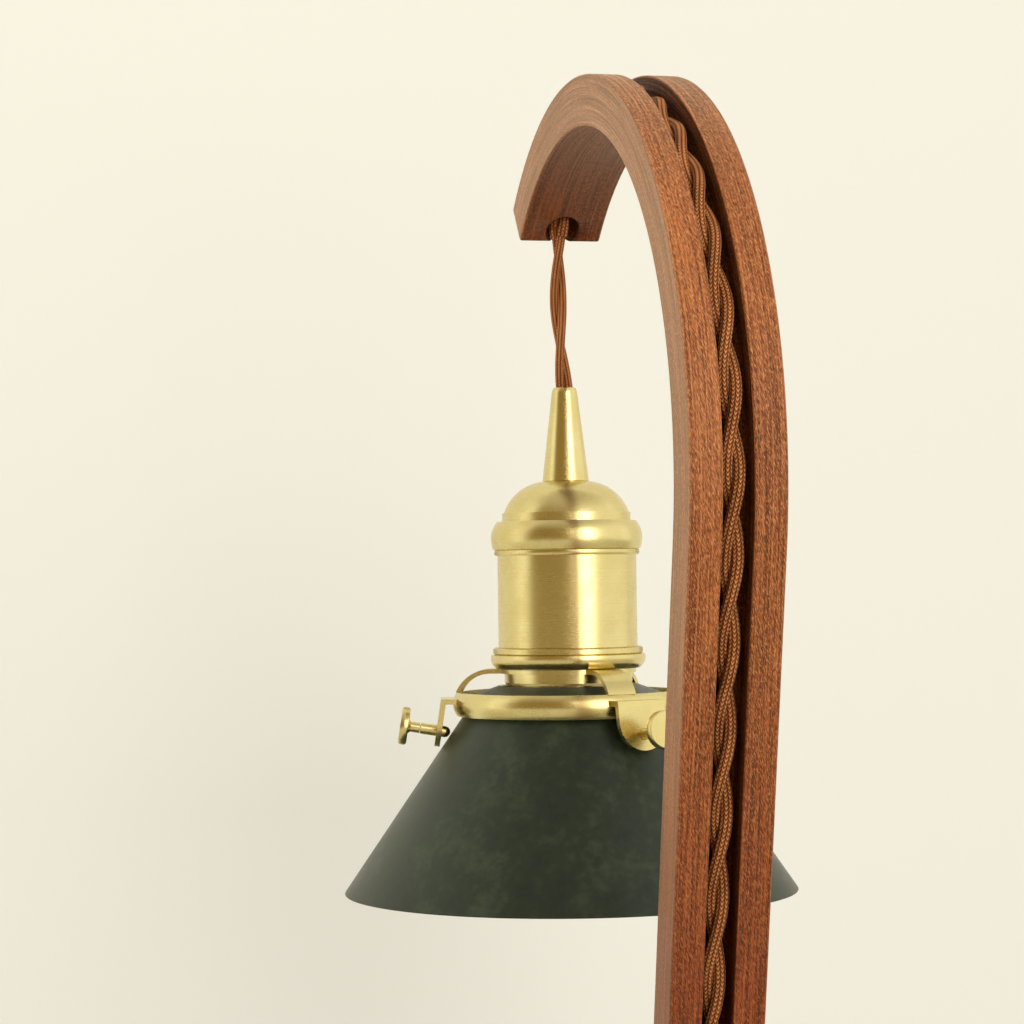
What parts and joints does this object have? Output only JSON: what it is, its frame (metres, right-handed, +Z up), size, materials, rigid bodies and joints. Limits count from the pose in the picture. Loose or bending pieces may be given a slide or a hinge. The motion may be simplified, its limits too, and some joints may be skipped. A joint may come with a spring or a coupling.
{
  "type": "candle warmer lamp",
  "caption": "Candle warmer lamp: a bent wooden crook on a round base carries a twisted flex in a groove, and a brass lampholder with a cone shade hangs from it.",
  "frame": {"origin": "centre of the round base, on the underside of its felt pad", "axes": "+Z up, +X from the post towards the hanging lamp, +Y across the arm"},
  "size_m": [0.3678, 0.1728, 0.367],
  "materials": {
    "wood": "oiled, satin",
    "felt": "felt",
    "steel": "satin",
    "flex": "braided",
    "brass": "aged satin",
    "patina": "mottled satin",
    "porcelain": "glazed",
    "bulb_glass": "silvered inside",
    "lens_glass": "clear",
    "black_plastic": "fine grain",
    "board": "printed board"
  },
  "bodies": {
    "stand": {"base": "wood", "base_pad": "felt", "base_screws": "steel", "arm": "wood", "flex_strand_a": "flex", "flex_strand_b": "flex", "lead_to_dimmer": "flex", "relief_in": "black_plastic", "dimmer_lower": "black_plastic", "dimmer_upper": "black_plastic", "dimmer_board": "board", "dimmer_screws": "steel", "relief_out": "black_plastic", "lead_to_coil": "flex", "lead_coil": "flex", "coil_tie": "felt", "lead_to_plug": "flex", "plug_relief": "black_plastic", "plug_body": "black_plastic", "plug_blades": "brass"},
    "drop": {"drop_flex": "flex"},
    "head": {"cord_grip": "brass", "grip_nipple": "brass", "cap_nut": "brass", "holder_cap": "brass", "holder_shell": "brass", "holder_insert": "porcelain", "screw_shell": "brass", "centre_contact": "brass", "terminal_screws": "steel", "holder_leads": "flex", "shade_nut": "brass", "gallery_spider": "brass", "clamp_nut": "brass", "gallery_ring": "brass", "shade": "patina", "bulb_cap": "steel", "bulb_glass": "bulb_glass", "bulb_lens": "lens_glass"},
    "wheel": {"dimmer_wheel": "black_plastic"},
    "stud_1": {"thumb_stud_1": "brass"},
    "knob_1": {"thumb_knob_1": "brass"},
    "stud_2": {"thumb_stud_2": "brass"},
    "knob_2": {"thumb_knob_2": "brass"},
    "stud_3": {"thumb_stud_3": "brass"},
    "knob_3": {"thumb_knob_3": "brass"}
  },
  "joints": [
    {"name": "flex_swing", "type": "hinge", "parent": "stand", "child": "drop", "pos_m": [0.03559, 0, 0.334], "axis": [0, 1, 0], "range_deg": [-12, 12]},
    {"name": "head_swing", "type": "hinge", "parent": "drop", "child": "head", "pos_m": [0.03559, 0, 0.29575], "axis": [1, 0, 0], "range_deg": [-12, 12]},
    {"name": "thumb_1_advance", "type": "slide", "parent": "head", "child": "stud_1", "axis": [0.1885, 0.9695, 0.1564], "range_m": [0, 0.002]},
    {"name": "thumb_1_turn", "type": "hinge", "parent": "stud_1", "child": "knob_1", "pos_m": [0.04219, 0.03396, 0.204], "axis": [0.1885, 0.9695, 0.1564], "range_deg": [0, 1440]},
    {"name": "thumb_2_advance", "type": "slide", "parent": "head", "child": "stud_2", "axis": [-0.9339, -0.3216, 0.1564], "range_m": [0, 0.002]},
    {"name": "thumb_2_turn", "type": "hinge", "parent": "stud_2", "child": "knob_2", "pos_m": [0.00287, -0.01127, 0.204], "axis": [-0.9339, -0.3216, 0.1564], "range_deg": [0, 1440]},
    {"name": "thumb_3_advance", "type": "slide", "parent": "head", "child": "stud_3", "axis": [0.7454, -0.648, 0.1564], "range_m": [0, 0.002]},
    {"name": "thumb_3_turn", "type": "hinge", "parent": "stud_3", "child": "knob_3", "pos_m": [0.0617, -0.0227, 0.204], "axis": [0.7454, -0.648, 0.1564], "range_deg": [0, 1440]},
    {"name": "dimmer_wheel_turn", "type": "hinge", "parent": "stand", "child": "wheel", "pos_m": [-0.15, -0.014, 0.012], "axis": [1, 0, 0], "range_deg": [0, 270]}
  ],
  "couplings": [
    {"joint": "thumb_1_turn", "follows": "thumb_1_advance", "rad_per_m": 12566},
    {"joint": "thumb_2_turn", "follows": "thumb_2_advance", "rad_per_m": 12566},
    {"joint": "thumb_3_turn", "follows": "thumb_3_advance", "rad_per_m": 12566}
  ]
}
